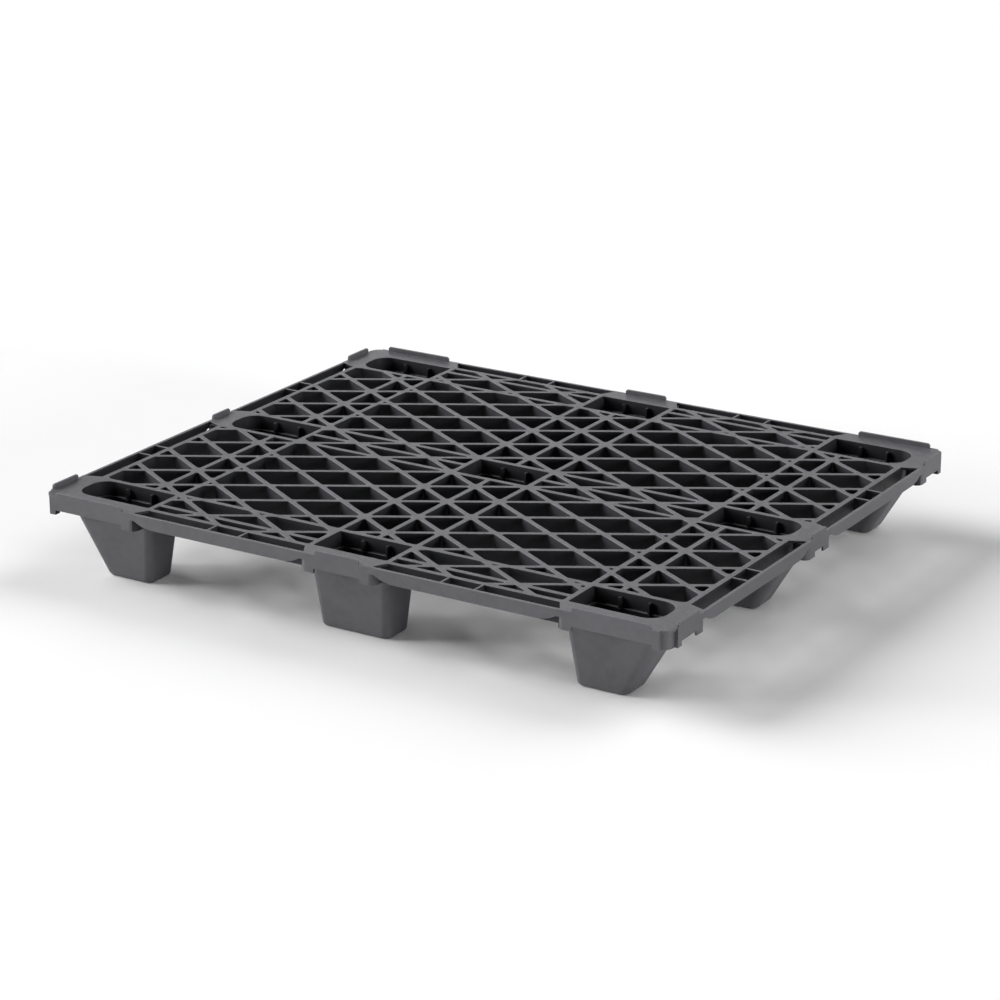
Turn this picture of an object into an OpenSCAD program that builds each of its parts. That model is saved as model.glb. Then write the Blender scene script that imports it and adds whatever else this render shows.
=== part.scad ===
// Nestable plastic pallet, 1200 x 1000 mm, with nine hollow feet and an open ribbed deck.
// X runs along the long side, +Y is the back and +Z is up.
// The origin is on the ground, below the middle of the deck.

/* [Overall] */
// length of the pallet along X
pallet_length = 1200; // [1190:1:1240]
// width of the pallet along Y
pallet_width = 1000; // [992:1:1030]
// height of the deck surface above the ground
deck_height = 140; // [125:1:160]

/* [Deck ribs] */
// width of a full rib
rib_width = 9; // [6:0.5:10]
// depth of the deck ribs below the deck surface
rib_depth = 32; // [26:1:40]
// depth of the rim ribs behind the edge beams and of the collars around the feet
rim_depth = 36; // [28:1:44]
// distance along X from one crossing of the diagonal ribs to the next column of crossings
mesh_step_x = 75; // [70:1:80]
// distance along Y from one crossing of the diagonal ribs to the next
mesh_step_y = 88; // [84:1:92]
// length of the web that fills each sharp corner of a deck opening
corner_web = 7; // [4:0.5:9]

/* [Feet] */
// wall of a hollow foot
foot_wall = 3.5; // [3:0.25:4.5]
// thickness of the floor of a foot
foot_floor = 4; // [3:0.5:6]
// width of the nesting ledge inside a foot
ledge_width = 4; // [3:0.5:5]
// depth of the nesting ledge below the deck surface
ledge_depth = 25; // [18:1:32]
// diameter of the drain hole in the floor of a foot
drain_diameter = 12; // [8:1:16]

/* [Edge] */
// thickness of the edge beams
beam_wall = 5; // [4:0.5:6]
// height of the edge beams
beam_height = 22; // [18:1:26]
// height left at the rounded ends of the edge beams
beam_end_height = 12; // [8:1:16]
// height of the skirt around a bumper
skirt_height = 24; // [20:1:27]
// height of the deeper pads at the ends of a skirt and around the corners
pad_height = 32; // [28:1:35]
// thickness of the skirt and of the top plate of a bumper
skirt_wall = 4; // [3:0.5:5]
// radius of the pallet's corners
corner_radius = 24; // [18:1:28]
// height of the retaining lips above the deck surface
lip_height = 8; // [5:1:12]
// thickness of the retaining lips
lip_wall = 4; // [3:0.5:6]

/* [View] */
// what to draw: all, or the name of one node

/* [Hidden] */
$fn = 32;
plastic = [0.43, 0.43, 0.45];
half_rib = rib_width / 2;
rib_bottom = deck_height - rib_depth;
rim_bottom = deck_height - rim_depth;
edge_x = pallet_length / 2;
edge_y = pallet_width / 2;

// centre lines of the main ribs, which are also the borders between the deck panels
inner_x = mesh_step_x;
outer_x = 5.307 * mesh_step_x;
side_x = 6 * mesh_step_x;
rim_x = edge_x - 36.5;
inner_y = mesh_step_y / 2;
outer_y = 381;
band_y = 5 * mesh_step_y;
rim_y = edge_y - 33.5;

// half width of a deck opening's inset, measured along Y between two diagonal ribs
rib_slope = mesh_step_y / (2 * mesh_step_x);
slant_inset = half_rib * sqrt(1 + rib_slope * rib_slope);

// bumpers: where their skirts and their plates end along the edges
middle_skirt_x = 72;
corner_skirt_x = 403;
middle_skirt_y = 43;
corner_skirt_y = 386;
middle_plate_x = 66;
corner_plate_x = 408;
middle_plate_y = 37;
corner_plate_y = 386;
middle_rib_x = inner_x + half_rib;
middle_rib_y = inner_y + half_rib;
corner_rib_x = outer_x - half_rib;
corner_rib_y = outer_y - half_rib;
pad_length = 28;
pad_radius = 12;

// corners of the pallet: where the flush skirts end, the deeper blocks at those ends, and
// the plate and the post that are set back between them
corner_end_x = edge_x - 18;
corner_end_y = edge_y - 27;
corner_block = 12;
plate_inset = 3;
post_inset = 6;

// edge beams: length of the rounded run-out at each end, and the cross stubs
beam_runout = 34;
beam_rise = beam_height - beam_end_height;
runout_radius = (beam_runout * beam_runout + beam_rise * beam_rise) / (2 * beam_rise);
stub_wall = 4;
front_stubs = [194, 256];
side_stubs = [195, 242];

// retaining lips: start and end of each one along its edge
front_corner_lip = [430, 567];
front_middle_lip = [-42, 42];
side_corner_lip = [405, 470];
side_middle_lip = [-25, 25];

lip_bevel = 3;

// feet: corner radii of the mouths, of the throats below their nesting ledges and of the
// necks where the taper starts, then the extents and the corner radius of the soles
mouth_radius = 4;
mouth_end_radius = 30;
throat_radius = 8;
neck_radius = 14;
neck_end_radius = 24;
sole_middle_x = 66;
sole_inner_x = 411;
sole_outer_x = 502;
sole_back_y = 391;
sole_front_y = 454.5;
sole_row_y = 32.5;
sole_radius = 14;
arc_steps = 6;

// small ribs inside the feet, which stop nested pallets from wedging
spacer_width = 4;
spacer_reach = 7;
spacer_bottom = 52;
spacer_top = deck_height - 8;
middle_spacer = 24;
outer_spacers = [452, 504];

// radius of a nearly square corner, and the distance below which two points are merged
square_radius = 0.5;
merge_distance = 0.5;
smallest_opening = 40;
beyond = 20;

// ---- shared shapes ----

// mirrors its children into one quarter of the pallet, where each sign is 1 or -1
module quarter(sx, sy) {
    mirror([sx < 0 ? 1 : 0, 0, 0])
        mirror([0, sy < 0 ? 1 : 0, 0])
            children();
}

// swaps X and Y, so that what is drawn along the front and back edges fits the side edges
module swapped() {
    mirror([1, -1, 0])
        children();
}

module box(x0, x1, y0, y1, z0, z1) {
    translate([x0, y0, z0])
        cube([x1 - x0, y1 - y0, z1 - z0]);
}

// keeps the part of a convex polygon where a*x + b*y <= c
function cut(p, a, b, c) = [
    for (i = [0 : 1 : len(p) - 1])
        let (
            q = p[i],
            r = p[(i + 1) % len(p)],
            dq = c - a * q[0] - b * q[1],
            dr = c - a * r[0] - b * r[1]
        )
        each concat(
            dq >= 0 ? [q] : [],
            dq * dr < 0 ? [q + (r - q) * dq / (dq - dr)] : []
        )
];

// drops points that nearly coincide with the next one
function tidy(p) = [
    for (i = [0 : 1 : len(p) - 1])
        if (norm(p[i] - p[(i + 1) % len(p)]) > merge_distance) p[i]
];

function area(p) = len(p) < 3 ? 0 : abs(0.5 * sum([
    for (i = [0 : 1 : len(p) - 1])
        cross(p[i], p[(i + 1) % len(p)])
]));

function sum(v, i = 0) = i < len(v) ? v[i] + sum(v, i + 1) : 0;

// replaces each sharp corner of a polygon by a short straight web
function webbed(p) = [
    for (i = [0 : 1 : len(p) - 1])
        let (
            here = p[i],
            before = p[(i + len(p) - 1) % len(p)] - here,
            after = p[(i + 1) % len(p)] - here,
            turn = acos(before * after / norm(before) / norm(after)),
            reach = min(corner_web, 0.35 * norm(before), 0.35 * norm(after))
        )
        each turn < 75
            ? [here + before / norm(before) * reach, here + after / norm(after) * reach]
            : [here]
];

// the opening of diamond (c, d) of the diagonal mesh inside a rectangle
function opening(x0, x1, y0, y1, c, d) =
    let (
        py = mesh_step_y,
        frame = [[x0, y0], [x1, y0], [x1, y1], [x0, y1]],
        above_rising = cut(frame, rib_slope, -1, -(c * py + slant_inset)),
        below_rising = cut(above_rising, -rib_slope, 1, (c + 1) * py - slant_inset),
        above_falling = cut(below_rising, -rib_slope, -1, -(d * py + slant_inset)),
        below_falling = cut(above_falling, rib_slope, 1, (d + 1) * py - slant_inset)
    )
    tidy(below_falling);

// every opening of the mesh inside a rectangle
function openings(x0, x1, y0, y1) =
    let (
        c0 = floor((y0 - rib_slope * x1) / mesh_step_y),
        c1 = ceil((y1 - rib_slope * x0) / mesh_step_y),
        d0 = floor((y0 + rib_slope * x0) / mesh_step_y),
        d1 = ceil((y1 + rib_slope * x1) / mesh_step_y)
    )
    [
        for (c = [c0 : 1 : c1], d = [d0 : 1 : d1])
            let (p = opening(x0, x1, y0, y1, c, d))
            if (area(p) > smallest_opening) webbed(p)
    ];

// a deck panel: a block between rib centre lines, pierced by the mesh.
// xs and ys list the rib centre lines from one border to the other
module panel(xs, ys) {
    last_x = len(xs) - 1;
    last_y = len(ys) - 1;
    difference() {
        box(xs[0], xs[last_x], ys[0], ys[last_y], rib_bottom, deck_height);
        for (i = [0 : 1 : last_x - 1], j = [0 : 1 : last_y - 1])
            for (p = openings(xs[i] + half_rib, xs[i + 1] - half_rib,
                              ys[j] + half_rib, ys[j + 1] - half_rib))
                translate([0, 0, rib_bottom - beyond])
                    linear_extrude(rib_depth + 2 * beyond)
                        polygon(p);
    }
}

// quarter circle of points around (x, y), starting at angle start
function arc(x, y, r, start) = [
    for (i = [0 : 1 : arc_steps])
        let (a = start + 90 * i / arc_steps)
        [x + r * cos(a), y + r * sin(a)]
];

// outline of a plan [x0, x1, y0, y1, r0, r1]: a rectangle whose corners have the radius r0
// at x0 and r1 at x1
function outline(p) = concat(
    arc(p[1] - p[5], p[2] + p[5], p[5], -90),
    arc(p[1] - p[5], p[3] - p[5], p[5], 0),
    arc(p[0] + p[4], p[3] - p[4], p[4], 90),
    arc(p[0] + p[4], p[2] + p[4], p[4], 180)
);

function grown(p, g) = [p[0] - g, p[1] + g, p[2] - g, p[3] + g, p[4] + g, p[5] + g];

// straight solid over a plan
module prism(p, z0, z1) {
    translate([0, 0, z0])
        linear_extrude(z1 - z0)
            polygon(outline(p));
}

// tapered solid between the plan low at z0 and the plan high at z1
module taper(low, z0, high, z1) {
    n = 4 * (arc_steps + 1);
    polyhedron(
        points = concat(
            [for (q = outline(low)) [q[0], q[1], z0]],
            [for (q = outline(high)) [q[0], q[1], z1]]
        ),
        faces = concat(
            [[for (i = [0 : 1 : n - 1]) i]],
            [[for (i = [n - 1 : -1 : 0]) n + i]],
            [for (i = [0 : 1 : n - 1]) [i, n + i, (i + 1) % n]],
            [for (i = [0 : 1 : n - 1]) [(i + 1) % n, n + i, n + (i + 1) % n]]
        )
    );
}

// ---- feet ----

// plan of the throat below the nesting ledge of a mouth
function throat(mouth) = [
    mouth[0] + ledge_width, mouth[1] - ledge_width,
    mouth[2] + ledge_width, mouth[3] - ledge_width,
    max(mouth[4] - ledge_width, throat_radius),
    max(mouth[5] - ledge_width, throat_radius)
];

// outer body of a foot: a taper below the straight collar that joins the deck panels
module foot_body(sole, neck, collar) {
    taper(sole, 0, neck, rim_bottom);
    prism(collar, rim_bottom, deck_height);
}

// a hollow foot. mouth is the plan of its opening in the deck, sole is the plan of its outer
// surface on the ground, neck is the plan where its taper starts, collar is the plan of the
// straight part between the deck panels and spacer_places are the places along X of the
// small ribs inside its long walls
module foot(mouth, sole, neck, collar, spacer_places) {
    ledge_z = deck_height - ledge_depth;
    color(plastic) {
        difference() {
            union() {
                foot_body(sole, neck, collar);
                box(collar[0], collar[1], collar[2], collar[3],
                    deck_height - skirt_wall, deck_height);
            }
            taper(grown(sole, -foot_wall), foot_floor, throat(mouth), rim_bottom);
            prism(throat(mouth), rim_bottom, ledge_z);
            prism(mouth, ledge_z, deck_height + beyond);
            translate([(sole[0] + sole[1]) / 2, (sole[2] + sole[3]) / 2, -beyond])
                cylinder(h = 2 * beyond, d = drain_diameter);
        }
        intersection() {
            foot_body(sole, neck, collar);
            for (x = spacer_places, y = [mouth[2], mouth[3] - spacer_reach])
                box(x - spacer_width / 2, x + spacer_width / 2, y, y + spacer_reach,
                    spacer_bottom, spacer_top);
        }
    }
}

// plans of the feet in the middle column and in the outer columns, between two rows y0 and y1
function middle_mouth(y0, y1) =
    [-inner_x + half_rib, inner_x - half_rib, y0 + half_rib, y1 - half_rib,
     mouth_radius, mouth_radius];
function middle_sole(y0, y1) = [-sole_middle_x, sole_middle_x, y0, y1, sole_radius, sole_radius];
function middle_neck(y0, y1) = [-inner_x, inner_x, y0, y1, neck_radius, neck_radius];
function middle_collar(y0, y1) = [-inner_x, inner_x, y0, y1, square_radius, square_radius];
function outer_mouth(y0, y1) =
    [outer_x + half_rib, rim_x - half_rib, y0 + half_rib, y1 - half_rib,
     mouth_radius, mouth_end_radius];
function outer_sole(y0, y1) = [sole_inner_x, sole_outer_x, y0, y1, sole_radius, sole_radius];
function outer_neck(y0, y1) = [outer_x, rim_x, y0, y1, neck_radius, neck_end_radius];
function outer_collar(y0, y1) = [outer_x, rim_x, y0, y1, square_radius, neck_end_radius];

// a foot between the rows zone[0] and zone[1] whose sole spans pads[0] to pads[1] along Y
module foot_of_middle(zone, pads) {
    foot(middle_mouth(zone[0], zone[1]),
         middle_sole(pads[0], pads[1]),
         middle_neck(zone[0], zone[1]),
         middle_collar(zone[0], zone[1]),
         [-middle_spacer, middle_spacer]);
}

module foot_of_outer(zone, pads) {
    foot(outer_mouth(zone[0], zone[1]),
         outer_sole(pads[0], pads[1]),
         outer_neck(zone[0], zone[1]),
         outer_collar(zone[0], zone[1]),
         outer_spacers);
}

module foot_of_middle_column(sy) {
    quarter(1, sy)
        foot_of_middle([outer_y, rim_y], [sole_back_y, sole_front_y]);
}

module foot_of_corner(sx, sy) {
    quarter(sx, sy)
        foot_of_outer([outer_y, rim_y], [sole_back_y, sole_front_y]);
}

module foot_of_side(sx) {
    quarter(sx, 1)
        foot_of_outer([-inner_y, inner_y], [-sole_row_y, sole_row_y]);
}

module foot_front_left() { foot_of_corner(-1, -1); }
module foot_front_centre() { foot_of_middle_column(-1); }
module foot_front_right() { foot_of_corner(1, -1); }
module foot_middle_left() { foot_of_side(-1); }
module foot_middle_right() { foot_of_side(1); }
module foot_back_left() { foot_of_corner(-1, 1); }
module foot_back_centre() { foot_of_middle_column(1); }
module foot_back_right() { foot_of_corner(1, 1); }

module foot_centre() {
    foot_of_middle([-inner_y, inner_y], [-sole_row_y, sole_row_y]);
}

// ---- deck panels ----

// large field of diagonal ribs between four feet
module deck_field(sx, sy) {
    color(plastic)
        quarter(sx, sy)
            panel([inner_x, outer_x], [inner_y, outer_y]);
}

// field between two feet of the middle column
module deck_spine(sy) {
    color(plastic)
        quarter(1, sy)
            panel([-inner_x, 0, inner_x], [inner_y, outer_y]);
}

// field between the centre foot and the foot in the middle of a side
module deck_cross(sx) {
    color(plastic)
        quarter(sx, 1)
            panel([inner_x, outer_x], [-inner_y, 0, inner_y]);
}

// field between two feet of an outer column
module deck_side(sx, sy) {
    color(plastic)
        quarter(sx, sy)
            panel([outer_x, side_x, rim_x], [inner_y, outer_y]);
}

// field between two feet of the front or back row
module deck_band(sx, sy) {
    color(plastic)
        quarter(sx, sy)
            panel([inner_x, outer_x], [outer_y, band_y, rim_y]);
}

module deck_front_left() { deck_field(-1, -1); }
module deck_front_right() { deck_field(1, -1); }
module deck_back_left() { deck_field(-1, 1); }
module deck_back_right() { deck_field(1, 1); }
module deck_spine_front() { deck_spine(-1); }
module deck_spine_back() { deck_spine(1); }
module deck_cross_left() { deck_cross(-1); }
module deck_cross_right() { deck_cross(1); }
module deck_side_front_left() { deck_side(-1, -1); }
module deck_side_front_right() { deck_side(1, -1); }
module deck_side_back_left() { deck_side(-1, 1); }
module deck_side_back_right() { deck_side(1, 1); }
module deck_band_front_left() { deck_band(-1, -1); }
module deck_band_front_right() { deck_band(1, -1); }
module deck_band_back_left() { deck_band(-1, 1); }
module deck_band_back_right() { deck_band(1, 1); }

// ---- bumpers ----

// slab over a polygon, between two depths below the deck surface
module slab(points, top, bottom) {
    translate([0, 0, deck_height - bottom])
        linear_extrude(bottom - top)
            polygon(points);
}

// half of the straight bumper in the middle of an edge, drawn with its edge along +Y at
// edge: rim is the rib line behind it, rib_end and plate_end are the half widths of its
// plate at that rib and at the edge, and skirt_end is the half width of its skirt
module half_bumper(edge, rim, rib_end, plate_end, skirt_end) {
    web = rim + half_rib;
    flush_end = skirt_end - pad_radius;
    slab([[0, rim], [rib_end, rim], [rib_end, web], [plate_end, edge - beam_wall],
          [plate_end, edge], [0, edge]], 0, skirt_wall);
    box(0, rib_end, rim, web, rim_bottom, deck_height);
    box(0, flush_end, edge - skirt_wall, edge, deck_height - skirt_height, deck_height);
    box(flush_end, skirt_end, edge - beam_wall, edge,
        deck_height - beam_end_height, deck_height);
    difference() {
        prism([skirt_end - pad_length, skirt_end, web, edge, square_radius, pad_radius],
              deck_height - pad_height, deck_height - skirt_wall);
        prism([skirt_end - pad_length - beyond, skirt_end - skirt_wall, web - beyond,
               edge - skirt_wall, square_radius, pad_radius - skirt_wall],
              deck_height - pad_height - beyond, deck_height - skirt_wall);
    }
}

module middle_bumper(edge, rim, rib_end, plate_end, skirt_end) {
    color(plastic)
        for (s = [0, 1])
            mirror([s, 0, 0])
                half_bumper(edge, rim, rib_end, plate_end, skirt_end);
}

// area inside the rounded corner of the pallet, moved in by inset
module corner_area(inset) {
    polygon(outline([0, edge_x - inset, 0, edge_y - inset,
                     square_radius, corner_radius - inset]));
}

// top plate of a corner bumper, with slanted ends beside the edge beams
module corner_plate(web_x, web_y) {
    intersection() {
        translate([0, 0, deck_height - skirt_wall])
            linear_extrude(skirt_wall)
                union() {
                    corner_area(plate_inset);
                    square([corner_end_x, edge_y]);
                    square([edge_x, corner_end_y]);
                }
        union() {
            slab([[corner_rib_x, rim_y], [edge_x, rim_y], [edge_x, edge_y],
                  [corner_plate_x, edge_y], [corner_plate_x, edge_y - beam_wall],
                  [corner_rib_x, web_y]], 0, skirt_wall);
            slab([[rim_x, corner_rib_y], [web_x, corner_rib_y],
                  [edge_x - beam_wall, corner_plate_y], [edge_x, corner_plate_y],
                  [edge_x, rim_y], [rim_x, rim_y]], 0, skirt_wall);
        }
    }
}

// post around the corner, set back between the deeper blocks that end the two skirts
module corner_post() {
    intersection() {
        translate([0, 0, deck_height - pad_height])
            linear_extrude(pad_height)
                difference() {
                    corner_area(post_inset);
                    corner_area(post_inset + skirt_wall);
                }
        box(corner_end_x - corner_block, edge_x, corner_end_y - corner_block, edge_y,
            deck_height - pad_height, deck_height);
    }
    box(corner_end_x - corner_block, corner_end_x, edge_y - corner_block, edge_y,
        deck_height - pad_height, deck_height);
    box(edge_x - corner_block, edge_x, corner_end_y - corner_block, corner_end_y,
        deck_height - pad_height, deck_height);
}

// one arm of a corner bumper, drawn along the +Y edge: the web behind its plate, the short
// wall that meets the edge beam, the skirt and the pad at its end
module corner_arm(edge, rim, rib_end, web_end, skirt_start, flush_end) {
    web = rim + half_rib;
    box(rib_end, web_end, rim, web, rim_bottom, deck_height);
    box(skirt_start, skirt_start + pad_radius, edge - beam_wall, edge,
        deck_height - beam_end_height, deck_height);
    box(skirt_start + pad_radius, flush_end, edge - skirt_wall, edge,
        deck_height - skirt_height, deck_height);
    end_pad([skirt_start, skirt_start + pad_length, web, edge, pad_radius, square_radius]);
}

// L-shaped bumper around a corner of the pallet
module corner_bumper(sx, sy) {
    web_x = rim_x + half_rib;
    web_y = rim_y + half_rib;
    color(plastic)
        quarter(sx, sy) {
            corner_plate(web_x, web_y);
            corner_post();
            corner_arm(edge_y, rim_y, corner_rib_x, web_x, corner_skirt_x, corner_end_x);
            swapped()
                corner_arm(edge_x, rim_x, corner_rib_y, web_y, corner_skirt_y, corner_end_y);
        }
}

// deeper hollow pad at one end of a skirt, open below and towards the rest of the skirt
module end_pad(p) {
    difference() {
        prism(p, deck_height - pad_height, deck_height - skirt_wall);
        prism([p[0] + skirt_wall, p[1] + beyond, p[2] - beyond, p[3] - skirt_wall,
               pad_radius - skirt_wall, square_radius],
              deck_height - pad_height - beyond, deck_height - skirt_wall);
    }
}

module bumper_front_left() { corner_bumper(-1, -1); }
module bumper_front_right() { corner_bumper(1, -1); }
module bumper_back_left() { corner_bumper(-1, 1); }
module bumper_back_right() { corner_bumper(1, 1); }

module bumper_on_long_edge(sy) {
    quarter(1, sy)
        middle_bumper(edge_y, rim_y, middle_rib_x, middle_plate_x, middle_skirt_x);
}

module bumper_on_side(sx) {
    quarter(sx, 1)
        swapped()
            middle_bumper(edge_x, rim_x, middle_rib_y, middle_plate_y, middle_skirt_y);
}

module bumper_front_centre() { bumper_on_long_edge(-1); }
module bumper_back_centre() { bumper_on_long_edge(1); }
module bumper_left() { bumper_on_side(-1); }
module bumper_right() { bumper_on_side(1); }

// ---- edge beams ----

// beam along +Y edge: the half rib behind the trough spans ribs, the outer wall spans walls
// and runs out at both ends, and cross stubs tie the two together
module beam(edge, rim, ribs, walls, stubs) {
    web = rim + half_rib;
    bottom = deck_height - beam_height;
    color(plastic) {
        box(ribs[0], ribs[1], rim, web, rim_bottom, deck_height);
        intersection() {
            box(walls[0], walls[1], edge - beam_wall, edge, bottom, deck_height);
            union() {
                box(walls[0] + beam_runout, walls[1] - beam_runout, 0, edge,
                    bottom, deck_height);
                for (x = [walls[0] + beam_runout, walls[1] - beam_runout])
                    translate([x, edge + beyond, bottom + runout_radius])
                        rotate([90, 0, 0])
                            cylinder(h = beam_wall + 2 * beyond, r = runout_radius, $fn = 120);
            }
        }
        for (x = stubs)
            box(x - stub_wall / 2, x + stub_wall / 2, web, edge - beam_wall,
                bottom, deck_height);
    }
}

module long_beam(sx, sy) {
    quarter(sx, sy)
        beam(edge_y, rim_y, [middle_rib_x, corner_rib_x], [middle_skirt_x, corner_skirt_x],
             front_stubs);
}

module side_beam(sx, sy) {
    quarter(sx, sy)
        swapped()
            beam(edge_x, rim_x, [middle_rib_y, corner_rib_y],
                 [middle_skirt_y, corner_skirt_y], side_stubs);
}

module beam_front_left() { long_beam(-1, -1); }
module beam_front_right() { long_beam(1, -1); }
module beam_back_left() { long_beam(-1, 1); }
module beam_back_right() { long_beam(1, 1); }
module beam_left_front() { side_beam(-1, -1); }
module beam_left_back() { side_beam(-1, 1); }
module beam_right_front() { side_beam(1, -1); }
module beam_right_back() { side_beam(1, 1); }

// ---- retaining lips ----

// low wall on top of an edge, between the places span[0] and span[1] along it
module lip(edge, span) {
    color(plastic)
        translate([0, edge, deck_height])
            rotate([90, 0, 0])
                linear_extrude(lip_wall)
                    polygon([[span[0], 0], [span[1], 0],
                             [span[1], lip_height - lip_bevel],
                             [span[1] - lip_bevel, lip_height],
                             [span[0] + lip_bevel, lip_height],
                             [span[0], lip_height - lip_bevel]]);
}

module lip_on_long_edge(sx, sy, span) {
    quarter(sx, sy)
        lip(edge_y, span);
}

module lip_on_side(sx, sy, span) {
    quarter(sx, sy)
        swapped()
            lip(edge_x, span);
}

module lip_front_left() { lip_on_long_edge(-1, -1, front_corner_lip); }
module lip_front_centre() { lip_on_long_edge(1, -1, front_middle_lip); }
module lip_front_right() { lip_on_long_edge(1, -1, front_corner_lip); }
module lip_back_left() { lip_on_long_edge(-1, 1, front_corner_lip); }
module lip_back_centre() { lip_on_long_edge(1, 1, front_middle_lip); }
module lip_back_right() { lip_on_long_edge(1, 1, front_corner_lip); }
module lip_left_front() { lip_on_side(-1, -1, side_corner_lip); }
module lip_left_middle() { lip_on_side(-1, 1, side_middle_lip); }
module lip_left_back() { lip_on_side(-1, 1, side_corner_lip); }
module lip_right_front() { lip_on_side(1, -1, side_corner_lip); }
module lip_right_middle() { lip_on_side(1, 1, side_middle_lip); }
module lip_right_back() { lip_on_side(1, 1, side_corner_lip); }

foot_front_left();
foot_front_centre();
foot_front_right();
foot_middle_left();
foot_centre();
foot_middle_right();
foot_back_left();
foot_back_centre();
foot_back_right();
deck_front_left();
deck_front_right();
deck_back_left();
deck_back_right();
deck_spine_front();
deck_spine_back();
deck_cross_left();
deck_cross_right();
deck_side_front_left();
deck_side_front_right();
deck_side_back_left();
deck_side_back_right();
deck_band_front_left();
deck_band_front_right();
deck_band_back_left();
deck_band_back_right();
bumper_front_left();
bumper_front_centre();
bumper_front_right();
bumper_left();
bumper_right();
bumper_back_left();
bumper_back_centre();
bumper_back_right();
beam_front_left();
beam_front_right();
beam_back_left();
beam_back_right();
beam_left_front();
beam_left_back();
beam_right_front();
beam_right_back();
lip_front_left();
lip_front_centre();
lip_front_right();
lip_back_left();
lip_back_centre();
lip_back_right();
lip_left_front();
lip_left_middle();
lip_left_back();
lip_right_front();
lip_right_middle();
lip_right_back();
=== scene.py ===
"""Nestable plastic pallet: its moulded surfaces, its plastic, a plain studio and the camera."""

import math

import bmesh
import bpy
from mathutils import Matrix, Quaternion, Vector, geometry


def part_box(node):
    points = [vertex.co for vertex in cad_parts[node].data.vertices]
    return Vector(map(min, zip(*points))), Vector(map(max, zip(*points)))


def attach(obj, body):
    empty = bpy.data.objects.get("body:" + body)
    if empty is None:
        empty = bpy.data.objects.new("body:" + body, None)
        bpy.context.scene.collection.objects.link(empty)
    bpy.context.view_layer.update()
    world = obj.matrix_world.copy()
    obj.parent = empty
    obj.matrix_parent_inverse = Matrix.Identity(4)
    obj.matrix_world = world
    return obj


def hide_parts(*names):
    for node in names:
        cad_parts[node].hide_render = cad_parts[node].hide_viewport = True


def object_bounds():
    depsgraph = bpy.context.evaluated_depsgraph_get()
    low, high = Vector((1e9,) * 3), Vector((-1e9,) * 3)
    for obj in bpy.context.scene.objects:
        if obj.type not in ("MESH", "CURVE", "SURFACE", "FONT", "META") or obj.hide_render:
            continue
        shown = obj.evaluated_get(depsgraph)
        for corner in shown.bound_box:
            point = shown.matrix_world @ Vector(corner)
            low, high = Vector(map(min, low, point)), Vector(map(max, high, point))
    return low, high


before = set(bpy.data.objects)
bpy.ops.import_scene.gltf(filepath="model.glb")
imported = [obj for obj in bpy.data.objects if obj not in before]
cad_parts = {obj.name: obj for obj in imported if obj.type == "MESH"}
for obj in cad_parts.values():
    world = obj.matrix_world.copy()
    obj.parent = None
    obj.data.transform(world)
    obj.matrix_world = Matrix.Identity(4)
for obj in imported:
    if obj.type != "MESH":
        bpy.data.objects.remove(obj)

cad_lo, cad_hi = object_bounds()

MM = 0.001  # the shapes below are drawn in millimetres, in the part's own frame


def box(node):
    """Lowest and highest corner of a CAD node in millimetres."""
    lo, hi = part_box(node)
    return lo / MM, hi / MM


def link(made):
    """Puts a new object into the scene."""
    bpy.context.scene.collection.objects.link(made)


def direction(azimuth, elevation):
    """The way from the object to something at an azimuth and elevation in radians."""
    return Vector((math.sin(azimuth) * math.cos(elevation),
                   -math.cos(azimuth) * math.cos(elevation),
                   math.sin(elevation)))


# ---- places taken from the CAD ----

field_lo, field_hi = box("deck_back_right")
side_hi = box("deck_side_back_right")[1]
band_hi = box("deck_band_back_right")[1]
beam_lo = box("beam_back_right")[0]

DECK = field_hi.z
RIB_BOTTOM = field_lo.z
RIM_BOTTOM = beam_lo.z
INNER_X, OUTER_X = field_lo.x, field_hi.x
INNER_Y, OUTER_Y = field_lo.y, field_hi.y
RIM_X, RIM_Y = side_hi.x, band_hi.y
STEP_X, STEP_Y = INNER_X, 2 * INNER_Y
SIDE_X, BAND_Y = 6 * STEP_X, 5 * STEP_Y
EDGE_X, EDGE_Y = cad_hi.x / MM, cad_hi.y / MM

# ---- sizes of the moulding ----

# deck ribs and the openings between them
HALF_RIB = box("bumper_back_centre")[1].x - INNER_X
SLOPE = STEP_Y / (2 * STEP_X)
SLANT_INSET = HALF_RIB * math.hypot(1, SLOPE)
SMALLEST_OPENING = 40  # square millimetres
SHORTEST_SIDE = 0.5  # shorter sides of an opening are left out
EDGE_ROUND = 0.8
EDGE_STEP = 0.3 * EDGE_ROUND  # a rounded edge has one step between its two ends
UNDER_ROUND = 0.6 * EDGE_ROUND
DRAFT = 1.0  # how much each side of a rib draws in towards its lower edge
SHARP_WEB, BLUNT_WEB = 7, 3.2  # reach of the round web in a sharp and a blunt corner
SHARP_CORNER = math.radians(75)
WEB_SHARE = 0.4  # the most of a side that one web may take
ARC_STEP = math.radians(18)

# feet
FOOT_WALL = 3.5
FOOT_FLOOR = 4
LEDGE_DEPTH = 25
LEDGE_WIDTH = 4
LEDGE_CHAMFER = 0.6
PLATE = 4
SOLE_ROUND = 6
FLOOR_FILLET = 5
DRAIN_RADIUS = 6
DRAIN_CHAMFER = 0.5
DRAIN_POINTS = 24
SPACER_WIDTH = 4
SPACER_REACH = 7
SPACER_TOP = 8
SPACER_SLANT = 0.5  # height over which the top of a spacer grows out of the wall
SPACER_BOTTOM = 52
SPACER_FLARE = 0.8
SPACER_MARGIN = 3

# steps in the round corners at a foot's near and far end, and in its sole and floor fillet
NEAR_STEPS = 6
FAR_STEPS = 9
ROUND_STEPS = 4

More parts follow.
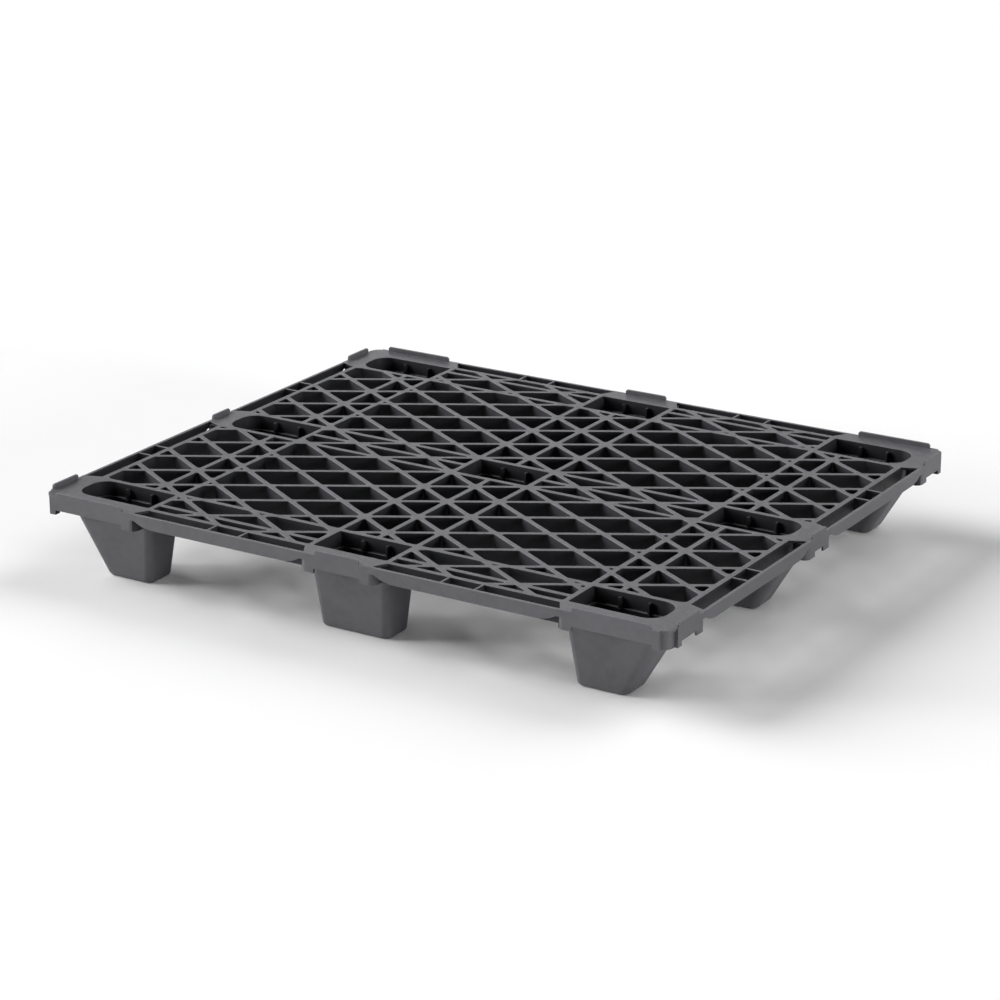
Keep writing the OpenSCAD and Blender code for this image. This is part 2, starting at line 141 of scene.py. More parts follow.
# plans of the feet in the +X +Y quarter
MOUTH_RADIUS, MOUTH_END_RADIUS = 4, 30
THROAT_RADIUS = 8
NECK_RADIUS, NECK_END_RADIUS = 14, 24
SOLE_RADIUS = 14
SOLE_MIDDLE_X = 66
SOLE_X = (411, 502)
SOLE_Y = (391, 454.5)
SOLE_ROW_Y = 32.5
MIDDLE_SPACERS = (-24, 24)
OUTER_SPACERS = (452, 504)

# edge pieces
BEVEL = 0.7
BEVEL_STEPS = 2
BEVEL_TURN = math.radians(25)  # the least turn of an edge that is rounded
FLAT_TURN = math.radians(0.5)  # faces that turn less than this are one flat face
SHORTEST = 0.75  # shorter edges are merged away before the bevel
BEHIND = 15  # faces that lie farther in than this are inner ones
INWARD = 0.5  # a face that points inward more than this is an inner one
UPWARD = 0.5  # a face that points up more than this never is

SAME = 0.02  # points closer than this are the same
CUT_MARGIN = 1e-6  # metres
CAP_MARGIN = 1e-5  # millimetres

# shading is split where faces turn more than this, or where a worn face meets another one
SHARP_TURN = math.radians(38)
WORN_TURN = math.radians(12)


# ---- closed meshes ----

class Solid:
    """A closed mesh being built, in millimetres. A worn face rounds an edge. An inner face lies
    inside an opening or pocket, and its plastic gets a darker colour there as painted shade."""

    def __init__(self):
        self.points = []
        self.faces = []
        self.worn = []
        self.inner = []

    def ring(self, points, z):
        """Adds points at one height and returns their numbers."""
        start = len(self.points)
        self.points += [(p[0], p[1], z) for p in points]
        return list(range(start, len(self.points)))

    def face(self, corners, worn=0.0, inner=0.0):
        self.faces.append(corners)
        self.worn.append(worn)
        self.inner.append(inner)

    def band(self, low, high, worn=0.0, inner=0.0, closed=True):
        """Quads between two rings of the same length."""
        for i in range(len(low) if closed else len(low) - 1):
            j = (i + 1) % len(low)
            self.face([low[i], low[j], high[j], high[i]], worn, inner)

    def loft(self, rings, worn=(), inner=None):
        """Bands between each ring and the next. worn holds the numbers of the bands that round an
        edge, and the last argument is the number of the first inner band; the inner bands get
        painted shade."""
        for i in range(len(rings) - 1):
            deep = inner is not None and i >= inner
            self.band(rings[i], rings[i + 1], float(i in worn), float(deep))

    def cap(self, outer, *holes, inner=0.0):
        """Flat patch inside the loop outer and outside the loops holes."""
        loops = [outer, *holes]
        ids = [i for loop in loops for i in loop]
        flat = [Vector(self.points[i][:2]) for i in ids]
        parts, start = [], 0
        for loop in loops:
            parts.append(list(range(start, start + len(loop))))
            start += len(loop)
        inside_only = 1
        _, _, faces, origins, _, inside = geometry.delaunay_2d_cdt(
            flat, [], parts, inside_only, CAP_MARGIN)
        for face, owners in zip(faces, inside):
            if list(owners) == [0]:
                self.face([ids[origins[v][0]] for v in face], inner=inner)


def stand_in(node, bm):
    """Makes the piece that shows in place of a CAD node."""
    bmesh.ops.recalc_face_normals(bm, faces=bm.faces)
    for face in bm.faces:
        face.smooth = True
    worn = bm.faces.layers.float["worn"]
    for edge in bm.edges:
        if len(edge.link_faces) == 2:
            a, b = edge.link_faces
            turn = edge.calc_face_angle(0)
            crisp = a[worn] != b[worn] and turn > WORN_TURN
            edge.smooth = not (crisp or turn > SHARP_TURN)
    name = node + "_moulded"
    mesh = bpy.data.meshes.new(name)
    bm.to_mesh(mesh)
    bm.free()
    mesh.materials.append(plastic)
    made = bpy.data.objects.new(name, mesh)
    link(made)
    normals = made.modifiers.new("even_shading", "WEIGHTED_NORMAL")
    normals.keep_sharp = True
    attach(made, "root")
    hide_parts(node)


def place(solid, node, sx, sy):
    """Makes a node's piece of a solid drawn in the +X +Y quarter, mirrored where a sign is -1."""
    bm = bmesh.new()
    worn = bm.faces.layers.float.new("worn")
    inner = bm.faces.layers.float.new("inner")
    verts = [bm.verts.new((x * sx * MM, y * sy * MM, z * MM)) for x, y, z in solid.points]
    for corners, wear, depth in zip(solid.faces, solid.worn, solid.inner):
        face = bm.faces.new([verts[i] for i in corners])
        face[worn] = wear
        face[inner] = depth
    bmesh.ops.delete(bm, geom=[v for v in bm.verts if not v.link_faces], context="VERTS")
    bmesh.ops.remove_doubles(bm, verts=bm.verts, dist=SAME * MM)
    stand_in(node, bm)


# ---- outlines ----

def clipped(points, a, b, c):
    """The part of a convex polygon where a*x + b*y <= c."""
    kept = []
    for q, r in zip(points, points[1:] + points[:1]):
        dq, dr = c - a * q.x - b * q.y, c - a * r.x - b * r.y
        if dq >= 0:
            kept.append(q)
        if dq * dr < 0:
            kept.append(q + (r - q) * (dq / (dq - dr)))
    return kept


def area(points):
    """Area of a polygon."""
    return abs(sum(q.cross(r) for q, r in zip(points, points[1:] + points[:1]))) / 2


def opening(x0, x1, y0, y1, c, d):
    """The opening of diamond (c, d) of the diagonal mesh inside a rectangle."""
    points = [Vector(p) for p in ((x0, y0), (x1, y0), (x1, y1), (x0, y1))]
    points = clipped(points, SLOPE, -1, -(c * STEP_Y + SLANT_INSET))
    points = clipped(points, -SLOPE, 1, (c + 1) * STEP_Y - SLANT_INSET)
    points = clipped(points, -SLOPE, -1, -(d * STEP_Y + SLANT_INSET))
    points = clipped(points, SLOPE, 1, (d + 1) * STEP_Y - SLANT_INSET)
    nexts = points[1:] + points[:1]
    return [q for q, r in zip(points, nexts) if (r - q).length > SHORTEST_SIDE]


def openings(x0, x1, y0, y1):
    """All openings of the diagonal mesh inside a rectangle."""
    def steps(low, high):
        return range(math.floor(low / STEP_Y), math.ceil(high / STEP_Y) + 1)

    rising = steps(y0 - SLOPE * x1, y1 - SLOPE * x0)
    falling = steps(y0 + SLOPE * x0, y1 + SLOPE * x1)
    shapes = [opening(x0, x1, y0, y1, c, d) for c in rising for d in falling]
    return [s for s in shapes if len(s) > 2 and area(s) > SMALLEST_OPENING]


def fillets(points):
    """The round web in each corner of a convex polygon: centre, radius, first angle, turn and
    number of steps."""
    arcs = []
    for before, here, after in zip(points[-1:] + points[:-1], points, points[1:] + points[:1]):
        back, on = before - here, after - here
        half = back.angle(on) / 2
        web = SHARP_WEB if 2 * half < SHARP_CORNER else BLUNT_WEB
        reach = min(web, WEB_SHARE * back.length, WEB_SHARE * on.length)
        middle = (back.normalized() + on.normalized()).normalized()
        centre = here + middle * reach / math.cos(half)
        first = here + back.normalized() * reach - centre
        turn = math.pi - 2 * half
        arcs.append((centre, reach * math.tan(half), math.atan2(first.y, first.x), turn,
                     max(2, math.ceil(turn / ARC_STEP))))
    return arcs


def along(arcs, grow):
    """Points along a rounded polygon that is grown by an amount."""
    points = []
    for centre, radius, first, turn, steps in arcs:
        for i in range(steps + 1):
            a = first + turn * i / steps
            points.append(centre + (radius + grow) * Vector((math.cos(a), math.sin(a))))
    return points


def grown(plan, by):
    """A plan that is larger by an amount all round."""
    x0, x1, y0, y1, r0, r1 = plan
    return (x0 - by, x1 + by, y0 - by, y1 + by, r0 + by, r1 + by)


def between(low, high, part):
    """The plan a part of the way from low to high."""
    return tuple(a + (b - a) * part for a, b in zip(low, high))


def outline(plan, places=(), reaches=(0, 0)):
    """Points along a plan, a rounded rectangle (x0, x1, y0, y1, radius at x0, radius at x1).
    places are those of the spacers along X, and reaches says how far the spacers stand in from
    the sides at y0 and y1."""
    x0, x1, y0, y1, r0, r1 = plan

    def arc(x, y, r, start, steps):
        turns = [start + math.pi / 2 * i / steps for i in range(steps + 1)]
        return [(x + r * math.cos(a), y + r * math.sin(a)) for a in turns]

    def spaced(y, tip_y):
        points = []
        for at in places:
            x = min(at, x1 - r1 - SPACER_MARGIN)
            half = SPACER_WIDTH / 2
            points += [(x - half - SPACER_FLARE, y),
                       (x - half + SPACER_FLARE / 2, tip_y),
                       (x + half - SPACER_FLARE / 2, tip_y),
                       (x + half + SPACER_FLARE, y)]
        return points

    quarter = math.pi / 2
    return (spaced(y0, y0 + reaches[0])
            + arc(x1 - r1, y0 + r1, r1, -quarter, FAR_STEPS)
            + arc(x1 - r1, y1 - r1, r1, 0, FAR_STEPS)
            + spaced(y1, y1 - reaches[1])[::-1]
            + arc(x0 + r0, y1 - r0, r0, quarter, NEAR_STEPS)
            + arc(x0 + r0, y0 + r0, r0, 2 * quarter, NEAR_STEPS))


# ---- deck panels ----

def panel(xs, ys):
    """A panel of diagonal ribs between the rib centre lines xs and ys."""
    solid = Solid()
    corners = [(xs[0], ys[0]), (xs[-1], ys[0]), (xs[-1], ys[-1]), (xs[0], ys[-1])]
    top, bottom = solid.ring(corners, DECK), solid.ring(corners, RIB_BOTTOM)
    solid.band(top, bottom)
    levels = [(DECK, EDGE_ROUND),
              (DECK - EDGE_STEP, EDGE_STEP),
              (DECK - EDGE_ROUND, 0),
              (RIB_BOTTOM + EDGE_ROUND, DRAFT),
              (RIB_BOTTOM, DRAFT + UNDER_ROUND)]
    top_holes, bottom_holes = [], []
    for x0, x1 in zip(xs, xs[1:]):
        for y0, y1 in zip(ys, ys[1:]):
            for shape in openings(x0 + HALF_RIB, x1 - HALF_RIB, y0 + HALF_RIB, y1 - HALF_RIB):
                arcs = fillets(shape)
                rings = [solid.ring(along(arcs, grow), z) for z, grow in levels]
                solid.loft(rings, worn=(0, 1, 3), inner=1)
                top_holes.append(rings[0])
                bottom_holes.append(rings[-1])
    solid.cap(top, *top_holes)
    solid.cap(bottom, *bottom_holes, inner=1.0)
    return solid


# ---- feet ----

def throat(mouth):
    """Plan of the throat below the nesting ledge of a mouth."""
    x0, x1, y0, y1, r0, r1 = grown(mouth, -LEDGE_WIDTH)
    return (x0, x1, y0, y1, max(r0, THROAT_RADIUS), max(r1, THROAT_RADIUS))


def quarter_turns():
    """Angles from 0 to a quarter turn, for the rounded sole and the floor fillet."""
    return [math.pi / 2 * i / ROUND_STEPS for i in range(ROUND_STEPS + 1)]


def add_outside(solid, sole, neck):
    """Adds a foot's outer surface from the neck down to the rounded sole. Returns its first and
    last ring."""
    rings = [solid.ring(outline(neck), RIM_BOTTOM)]
    for a in quarter_turns():
        z = SOLE_ROUND * (1 - math.sin(a))
        plan = between(sole, neck, z / RIM_BOTTOM)
        rings.append(solid.ring(outline(grown(plan, -SOLE_ROUND * (1 - math.cos(a)))), z))
    solid.loft(rings)
    return rings[0], rings[-1]


def add_inside(solid, mouth, sole, places):
    """Adds a foot's inner surface from the mouth down to the floor, with its nesting ledge and
    its spacers. Returns its first and last ring."""
    ledge_z = DECK - LEDGE_DEPTH
    spacer_z = DECK - SPACER_TOP
    pocket_end = throat(mouth)
    well = grown(sole, -FOOT_WALL)
    face_y = (mouth[2] + SPACER_REACH, mouth[3] - SPACER_REACH)

    def plain(plan, z):
        return solid.ring(outline(plan, places), z)

    def spaced(plan, z):
        reaches = (max(0, face_y[0] - plan[2]), max(0, plan[3] - face_y[1]))
        return solid.ring(outline(plan, places, reaches), z)

    def lower(z):
        return between(well, pocket_end, (z - FOOT_FLOOR) / (RIM_BOTTOM - FOOT_FLOOR))

    rings = [plain(grown(mouth, EDGE_ROUND), DECK),
             plain(grown(mouth, EDGE_STEP), DECK - EDGE_STEP),
             plain(mouth, DECK - EDGE_ROUND),
             plain(mouth, spacer_z + SPACER_SLANT),
             spaced(mouth, spacer_z),
             spaced(mouth, ledge_z + LEDGE_CHAMFER),
             spaced(grown(mouth, -LEDGE_CHAMFER), ledge_z),
             spaced(grown(pocket_end, EDGE_ROUND), ledge_z),
             spaced(pocket_end, ledge_z - EDGE_ROUND),
             spaced(pocket_end, RIM_BOTTOM),
             spaced(lower(SPACER_BOTTOM), SPACER_BOTTOM)]
    for a in quarter_turns():
        z = FOOT_FLOOR + FLOOR_FILLET * (1 - math.sin(a))
        rings.append(plain(grown(lower(z), -FLOOR_FILLET * (1 - math.cos(a))), z))
    solid.loft(rings, worn=(0, 1, 7), inner=1)
    return rings[0], rings[-1]


def add_floor(solid, sole, under, floor):
    """Adds a foot's floor with its drain hole, between the rings under and floor."""
    middle = Vector(((sole[0] + sole[1]) / 2, (sole[2] + sole[3]) / 2))
    turns = [2 * math.pi * i / DRAIN_POINTS for i in range(DRAIN_POINTS)]

    def circle(radius, z):
        return solid.ring([middle + radius * Vector((math.cos(a), math.sin(a))) for a in turns], z)

    drain = [circle(DRAIN_RADIUS + DRAIN_CHAMFER, 0),
             circle(DRAIN_RADIUS, DRAIN_CHAMFER),
             circle(DRAIN_RADIUS, FOOT_FLOOR - DRAIN_CHAMFER),
             circle(DRAIN_RADIUS + DRAIN_CHAMFER, FOOT_FLOOR)]
    solid.loft(drain, worn=(0, 2))
    solid.cap(under, drain[0])
    solid.cap(floor, drain[-1], inner=1.0)


def add_collar(solid, zone, mouth_ring, neck_ring, plated):
    """Adds a foot's top and its straight collar, whose corners overhang the rounded neck."""
    x0, x1, y0, y1 = zone
    corners = [(x1, y0), (x1, y1), (x0, y1), (x0, y0)]
    rim = solid.ring(corners, DECK)
    solid.cap(rim, mouth_ring)
    # under each corner: the neck's arc, the corner's lower end, and the arc where the collar ends
    arcs, base, hung, start = [], [], [], 0
    for k, steps in enumerate((FAR_STEPS, FAR_STEPS, NEAR_STEPS, NEAR_STEPS)):
        arcs.append(neck_ring[start:start + steps + 1])
        start += steps + 1
        lifted = plated and k < 2
        level = DECK - PLATE if lifted else RIM_BOTTOM
        base += solid.ring([corners[k]], level)
        if lifted:
            hung.append(solid.ring([solid.points[i][:2] for i in arcs[k]], level))
            solid.band(arcs[k], hung[k], closed=False)
        else:
            hung.append(arcs[k])
        solid.face([base[k]] + hung[k][::-1])
    for k in range(4):
        n = (k + 1) % 4
        low = [arcs[n][0]] if hung[n] is not arcs[n] else []
        low += [arcs[k][-1]] if hung[k] is not arcs[k] else []
        solid.face([rim[k], rim[n], base[n], hung[n][0], *low, hung[k][-1], base[k]])


def foot(zone, mouth, sole, neck, places, plated):
    """A hollow foot. zone is the rectangle that its top fills. mouth, sole and neck are plans,
    places are those of the spacers along X, and plated says that its far end is rounded under a
    thin plate."""
    solid = Solid()
    neck_ring, under = add_outside(solid, sole, neck)
    mouth_ring, floor = add_inside(solid, mouth, sole, places)
    add_floor(solid, sole, under, floor)
    add_collar(solid, zone, mouth_ring, neck_ring, plated)
    return solid


# ---- edge of the pallet, cut from the CAD's own solids ----

def seams():
    """Planes (axis, distance from the middle) where a piece of the edge meets its neighbour."""
    planes = []
    for axis, rim, beam in ((0, RIM_X, "beam_back_right"), (1, RIM_Y, "beam_right_back")):
        lo, hi = box(beam)
        planes += [(axis, rim), (axis, lo[axis]), (axis, hi[axis])]
    planes += [(0, INNER_X + HALF_RIB), (0, OUTER_X - HALF_RIB)]
    planes += [(1, INNER_Y + HALF_RIB), (1, OUTER_Y - HALF_RIB)]
    return planes


def cut_at_lips(bm, lips):
    """Cuts the top of the outer wall at the ends of the lips that stand on it."""
    for lip in lips:
        lo, hi = box(lip)
        axis = 0 if hi.x - lo.x > hi.y - lo.y else 1
        for end in (lo[axis], hi[axis]):
            spot, normal = [0, 0, 0], [0, 0, 0]
            spot[axis], normal[axis] = end * MM, 1
            geom = bm.verts[:] + bm.edges[:] + bm.faces[:]
            bmesh.ops.bisect_plane(bm, geom=geom, plane_co=spot, plane_no=normal, dist=CUT_MARGIN)


def at_seam(edge, node, lips):
    """Whether an edge of a node's mesh lies where the node meets its neighbour or a lip."""
    ends = [v.co / MM for v in edge.verts]
    for axis, distance in seams():
        if all(abs(abs(e[axis]) - distance) < SAME for e in ends):
            return True
    middle = (ends[0] + ends[1]) / 2
    for lip in lips:
        lo, hi = box(lip)
        if all(lo[i] - SAME < middle[i] < hi[i] + SAME for i in range(3)):
            return True
    return node.startswith("lip") and all(abs(e.z - DECK) < SAME for e in ends)


def is_inner(face):
    """Whether a face below the deck lies behind the outer wall or points inward."""
    spot, normal = face.calc_center_median() / MM, face.normal
    behind = abs(spot.x) < EDGE_X - BEHIND and abs(spot.y) < EDGE_Y - BEHIND
    inward = (normal.x * spot.x < -INWARD * abs(spot.x)
              or normal.y * spot.y < -INWARD * abs(spot.y))
    return (behind or inward) and normal.z < UPWARD and spot.z < DECK


def edge_piece(node, lips=()):
    """A copy of a CAD node of the edge, with its outward edges rounded except where it meets a
    neighbour. lips are the nodes that stand on it."""
    bm = bmesh.new()
    bm.from_mesh(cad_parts[node].data)
    bmesh.ops.remove_doubles(bm, verts=bm.verts, dist=SHORTEST * MM)
    bmesh.ops.dissolve_limit(bm, angle_limit=FLAT_TURN, verts=bm.verts, edges=bm.edges)
    worn = bm.faces.layers.float.new("worn")
    cut_at_lips(bm, lips)
    chosen = [e for e in bm.edges if len(e.link_faces) == 2 and e.is_convex
              and e.calc_face_angle(0) > BEVEL_TURN and not at_seam(e, node, lips)]
    made = bmesh.ops.bevel(bm, geom=chosen, offset=BEVEL * MM, offset_type="OFFSET",
                           segments=BEVEL_STEPS, profile=0.5, affect="EDGES", clamp_overlap=True)
    for face in made["faces"]:
        face[worn] = 1.0
    bmesh.ops.remove_doubles(bm, verts=bm.verts, dist=SAME * MM)
    bm.normal_update()
    # faces behind the outer wall or facing inward get painted shade in the plastic
    inner = bm.faces.layers.float.new("inner")
    for face in bm.faces:
        face[inner] = float(is_inner(face))
    stand_in(node, bm)


# ---- plastic ----

# painted shade: the near-black colour given to the inner faces inside openings and pockets
PAINTED_SHADE = (0.016, 0.016, 0.019, 1)
DARK = (0.059, 0.059, 0.065, 1)
LIGHT = (0.079, 0.079, 0.087, 1)
PALE = (0.110, 0.110, 0.120, 1)
# paler colour for worn edges and rubbed tops, and for painted sheen on the tops
WORN_AND_SHEEN = (0.190, 0.190, 0.204, 1)
INNER_SHADE_SHARE = 0.9  # how far the inner faces turn to the painted shade colour
ROUGH = 0.48
WORN_ROUGH = 0.12  # added where the colour is paler for wear and for painted sheen
GLOSS, INNER_GLOSS = 0.5, 0.22
IOR = 1.49

# sizes of the patterns, in repeats per metre
CLOUDS, FLOW, MOTTLE, SCUFF, FLECKS, GRAIN = 9, 14, 70, 260, 260, 1100
FLOW_STRETCH = 7.0
FLECK_RADII = (0.10, 0.16)  # full and faded radius, as shares of a repeat
BUMP_STRENGTH = 0.22
BUMP_HEIGHT = 0.0004  # metres


def make_plastic():
    """Black recycled polypropylene: flow marks, mottling, flecks, a fine grain, paler worn
    edges, tops paler in patches partly from rubbing and partly as painted sheen, and painted shade
    on inner faces."""
    material = bpy.data.materials.new("black_plastic")
    material.use_nodes = True
    tree = material.node_tree
    nodes, links = tree.nodes, tree.links
    shader = nodes["Principled BSDF"]
    shader.inputs["IOR"].default_value = IOR
    spot = nodes.new("ShaderNodeTexCoord").outputs["Object"]

    def noise(scale, detail, rough=0.55, vector=spot):
        n = nodes.new("ShaderNodeTexNoise")
        n.inputs["Scale"].default_value = scale
        n.inputs["Detail"].default_value = detail
        n.inputs["Roughness"].default_value = rough
        links.new(vector, n.inputs["Vector"])
        return n.outputs["Fac"]

    def span(value, low, high, to_low=0.0, to_high=1.0):
        """A value's place between low and high, as a number from to_low to to_high."""
        n = nodes.new("ShaderNodeMapRange")
        n.inputs["From Min"].default_value = low
        n.inputs["From Max"].default_value = high
        n.inputs["To Min"].default_value = to_low
        n.inputs["To Max"].default_value = to_high
        links.new(value, n.inputs["Value"])
        return n.outputs["Result"]

    def maths(kind, a, b):
        n = nodes.new("ShaderNodeMath")
        n.operation = kind
        for socket, value in zip(n.inputs, (a, b)):
            if isinstance(value, (int, float)):
                socket.default_value = value
            else:
                links.new(value, socket)
        return n.outputs["Value"]

    def mix(factor, a, b):
        n = nodes.new("ShaderNodeMix")
        n.data_type = "RGBA"
        for name, value in (("Factor", factor), ("A", a), ("B", b)):
            socket = next(s for s in n.inputs if s.name == name and s.enabled)
            if isinstance(value, (int, float, tuple)):
                socket.default_value = value
            else:
                links.new(value, socket)
        return next(s for s in n.outputs if s.enabled)

    def attribute(name):
        n = nodes.new("ShaderNodeAttribute")
        n.attribute_name = name
        return n.outputs["Fac"]

    clouds = noise(CLOUDS, 4)
    mottle = noise(MOTTLE, 4, 0.6)
    grain = noise(GRAIN, 2)
    stretch = nodes.new("ShaderNodeMapping")
    stretch.inputs["Scale"].default_value = (1.0, FLOW_STRETCH, 1.0)
    links.new(spot, stretch.inputs["Vector"])
    flow = noise(FLOW, 3, 0.6, stretch.outputs["Vector"])
    scuff = noise(SCUFF, 5, 0.7)
    flecks = nodes.new("ShaderNodeTexVoronoi")
    flecks.inputs["Scale"].default_value = FLECKS
    links.new(spot, flecks.inputs["Vector"])
    fleck = span(flecks.outputs["Distance"], *FLECK_RADII, 1, 0)
    worn = attribute("worn")
    inner = attribute("inner")
    upward = nodes.new("ShaderNodeSeparateXYZ")
    links.new(nodes.new("ShaderNodeNewGeometry").outputs["Normal"], upward.inputs["Vector"])

    colour = mix(span(clouds, 0.3, 0.7), DARK, LIGHT)
    colour = mix(span(mottle, 0.35, 0.7, 0, 0.35), colour, PALE)
    colour = mix(span(flow, 0.55, 0.8, 0, 0.3), colour, DARK)
    colour = mix(maths("MULTIPLY", fleck, 0.25), colour, PALE)
    # painted shade: inner faces inside openings and pockets turn nearly to the darkest colour
    colour = mix(maths("MULTIPLY", inner, INNER_SHADE_SHARE), colour, PAINTED_SHADE)
    # flat tops are paler in patches, partly from rubbing and partly as painted sheen, and rounded
    # edges are worn paler nearly everywhere
    tops = span(upward.outputs["Z"], 0.7, 0.95)
    rubbed_and_sheen = maths("MULTIPLY", tops, span(scuff, 0.45, 0.68, 0, 0.45))
    edges = maths("MULTIPLY", worn, span(scuff, 0.3, 0.6, 0.25, 0.8))
    # wear holds the edge wear and the paler tops, which are partly rubbing and partly painted
    # sheen
    wear = maths("MAXIMUM", rubbed_and_sheen, edges)
    colour = mix(wear, colour, WORN_AND_SHEEN)
    links.new(colour, shader.inputs["Base Color"])

    rough = span(mottle, 0.25, 0.75, ROUGH - 0.06, ROUGH + 0.08)
    rough = maths("ADD", rough, maths("MULTIPLY", wear, WORN_ROUGH))
    links.new(rough, shader.inputs["Roughness"])
    links.new(span(inner, 0, 1, GLOSS, INNER_GLOSS), shader.inputs["Specular IOR Level"])

    height = maths("ADD", maths("MULTIPLY", grain, 0.5), maths("MULTIPLY", scuff, 0.5))
    height = maths("ADD", height, maths("MULTIPLY", mottle, 1.5))
    bump = nodes.new("ShaderNodeBump")
    bump.inputs["Strength"].default_value = BUMP_STRENGTH
    bump.inputs["Distance"].default_value = BUMP_HEIGHT
    links.new(height, bump.inputs["Height"])
    links.new(bump.outputs["Normal"], shader.inputs["Normal"])
    return material


plastic = make_plastic()

# ---- the pieces ----

COLUMNS = ((-1, "left"), (1, "right"))
ROWS = ((-1, "front"), (1, "back"))

field = panel([INNER_X, OUTER_X], [INNER_Y, OUTER_Y])
side = panel([OUTER_X, SIDE_X, RIM_X], [INNER_Y, OUTER_Y])
band = panel([INNER_X, OUTER_X], [OUTER_Y, BAND_Y, RIM_Y])
spine = panel([-INNER_X, 0, INNER_X], [INNER_Y, OUTER_Y])
cross = panel([INNER_X, OUTER_X], [-INNER_Y, 0, INNER_Y])


def middle_foot(rows, sole_rows):
    """Foot of the middle column. rows and sole_rows are the reach along Y of its top and sole."""
    zone = (-INNER_X, INNER_X, *rows)
    mouth = (-INNER_X + HALF_RIB, INNER_X - HALF_RIB, rows[0] + HALF_RIB, rows[1] - HALF_RIB,
             MOUTH_RADIUS, MOUTH_RADIUS)
    sole = (-SOLE_MIDDLE_X, SOLE_MIDDLE_X, *sole_rows, SOLE_RADIUS, SOLE_RADIUS)
    neck = (*zone, NECK_RADIUS, NECK_RADIUS)
    return foot(zone, mouth, sole, neck, MIDDLE_SPACERS, plated=False)


def outer_foot(rows, sole_rows):
    """Foot of an outer column. rows and sole_rows are the reach along Y of its top and sole."""
    zone = (OUTER_X, RIM_X, *rows)
    mouth = (OUTER_X + HALF_RIB, RIM_X - HALF_RIB, rows[0] + HALF_RIB, rows[1] - HALF_RIB,
             MOUTH_RADIUS, MOUTH_END_RADIUS)
    sole = (*SOLE_X, *sole_rows, SOLE_RADIUS, SOLE_RADIUS)
    neck = (*zone, NECK_RADIUS, NECK_END_RADIUS)
    return foot(zone, mouth, sole, neck, OUTER_SPACERS, plated=True)


end_rows = (OUTER_Y, RIM_Y)
middle_rows = (-INNER_Y, INNER_Y)
sole_row = (-SOLE_ROW_Y, SOLE_ROW_Y)
foot_end = middle_foot(end_rows, SOLE_Y)
foot_middle = middle_foot(middle_rows, sole_row)
foot_corner = outer_foot(end_rows, SOLE_Y)
foot_side = outer_foot(middle_rows, sole_row)

place(foot_middle, "foot_centre", 1, 1)
for sx, column in COLUMNS:
    place(foot_side, "foot_middle_" + column, sx, 1)
    place(cross, "deck_cross_" + column, sx, 1)
for sy, row in ROWS:
    place(foot_end, "foot_" + row + "_centre", 1, sy)
    place(spine, "deck_spine_" + row, 1, sy)
    for sx, column in COLUMNS:
        corner, turned = row + "_" + column, column + "_" + row
        place(foot_corner, "foot_" + corner, sx, sy)
        place(field, "deck_" + corner, sx, sy)
        place(side, "deck_side_" + corner, sx, sy)
        place(band, "deck_band_" + corner, sx, sy)
        edge_piece("beam_" + corner)
        edge_piece("beam_" + turned)
        lips = ["lip_" + corner, "lip_" + turned]
        edge_piece("bumper_" + corner, lips)
        for lip in lips:
            edge_piece(lip)
for name in ("front_centre", "back_centre"):
    edge_piece("bumper_" + name, ["lip_" + name])
    edge_piece("lip_" + name)
for name in ("left", "right"):
    edge_piece("bumper_" + name, ["lip_" + name + "_middle"])
    edge_piece("lip_" + name + "_middle")

# ---- studio ----

FLOOR_SIZE = 60.0
FLOOR_COLOUR = (0.90, 0.90, 0.90, 1)
WORLD_COLOUR = (1, 1, 1, 1)
WORLD_STRENGTH = 0.03

# name, azimuth (0 is the front, 90 the right), elevation, strength, spread
SUNS = (("back_light", 212, 14, 0.25, 20),
        ("left_light", 280, 30, 3.60, 40),
        ("low_left_light", 300, 8, 2.30, 16),
        ("far_right_light", 150, 40, 1.60, 40),
        ("low_right_light", 85, 8, 1.75, 16))


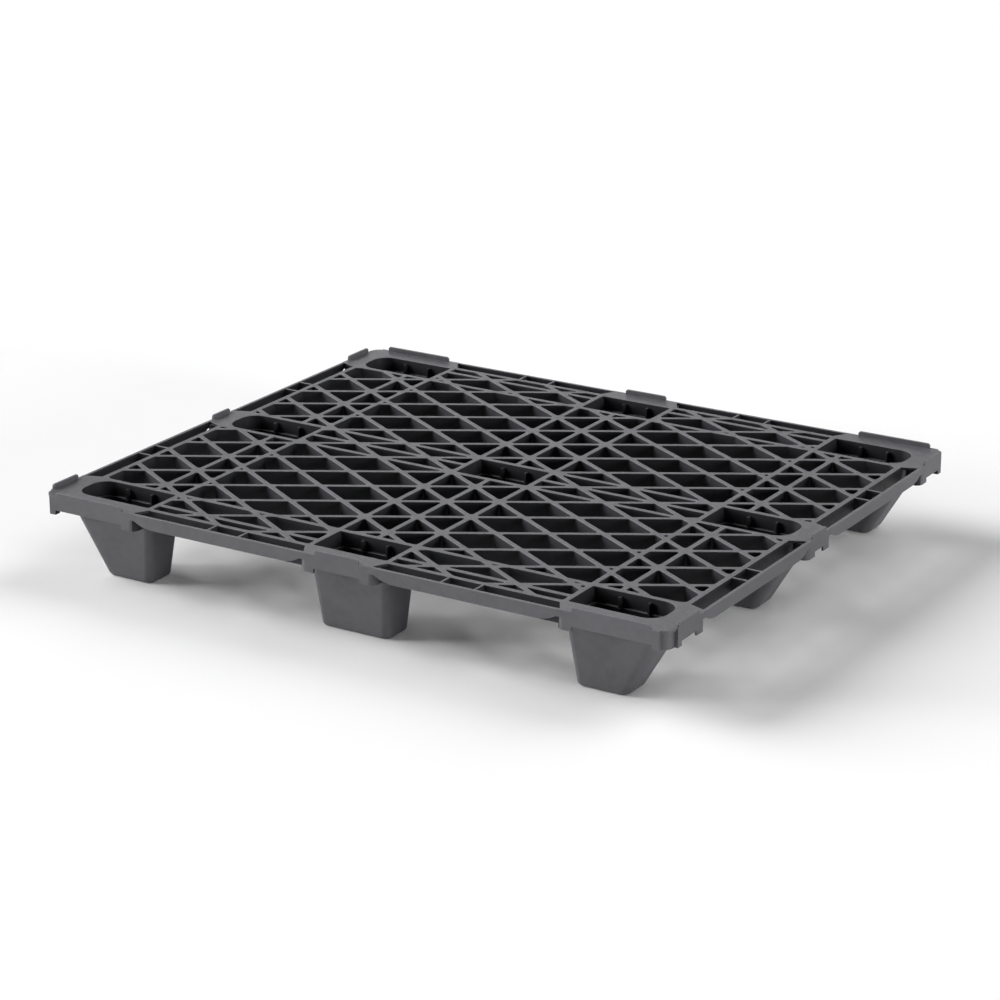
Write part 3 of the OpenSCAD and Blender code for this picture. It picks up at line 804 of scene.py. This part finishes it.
def make_floor():
    """A plain pale floor, far larger than any view."""
    mesh = bpy.data.meshes.new("floor")
    half = FLOOR_SIZE / 2
    corners = [(-half, -half, 0), (half, -half, 0), (half, half, 0), (-half, half, 0)]
    mesh.from_pydata(corners, [], [(0, 1, 2, 3)])
    material = bpy.data.materials.new("studio_floor")
    material.use_nodes = True
    shader = material.node_tree.nodes["Principled BSDF"]
    shader.inputs["Base Color"].default_value = FLOOR_COLOUR
    shader.inputs["Roughness"].default_value = 0.9
    shader.inputs["Specular IOR Level"].default_value = 0.1
    mesh.materials.append(material)
    floor = bpy.data.objects.new("floor", mesh)
    link(floor)


def make_sun(name, azimuth, elevation, strength, spread):
    """A distant soft light."""
    light = bpy.data.lights.new(name, "SUN")
    light.energy = strength
    light.angle = math.radians(spread)
    lamp = bpy.data.objects.new(name, light)
    back = direction(math.radians(azimuth), math.radians(elevation))
    lamp.rotation_mode = "QUATERNION"
    lamp.rotation_quaternion = back.to_track_quat("Z", "Y")
    link(lamp)


def make_world():
    """A faint even light from all round."""
    world = bpy.data.worlds.new("studio")
    world.use_nodes = True
    background = world.node_tree.nodes["Background"]
    background.inputs["Color"].default_value = WORLD_COLOUR
    background.inputs["Strength"].default_value = WORLD_STRENGTH
    bpy.context.scene.world = world


make_floor()
for row in SUNS:
    make_sun(*row)
make_world()
bpy.context.scene.view_settings.view_transform = "Standard"

# ---- camera ----

AZIMUTH = math.radians(31.895)
ELEVATION = math.radians(19.444)
ROLL = math.radians(-0.124)
DISTANCE = 5.1173
LENS = 110.87
SENSOR = 36.0
TARGET = Vector((0.0716, -0.1250, DECK * MM))  # the spot on the deck in the middle of the view

camera = bpy.data.cameras.new("camera")
camera.lens = LENS
camera.sensor_width = SENSOR
viewer = bpy.data.objects.new("camera", camera)
back = direction(AZIMUTH, ELEVATION)
viewer.location = TARGET + back * DISTANCE
viewer.rotation_mode = "QUATERNION"
viewer.rotation_quaternion = back.to_track_quat("Z", "Y") @ Quaternion((0, 0, 1), ROLL)
link(viewer)
bpy.context.scene.camera = viewer
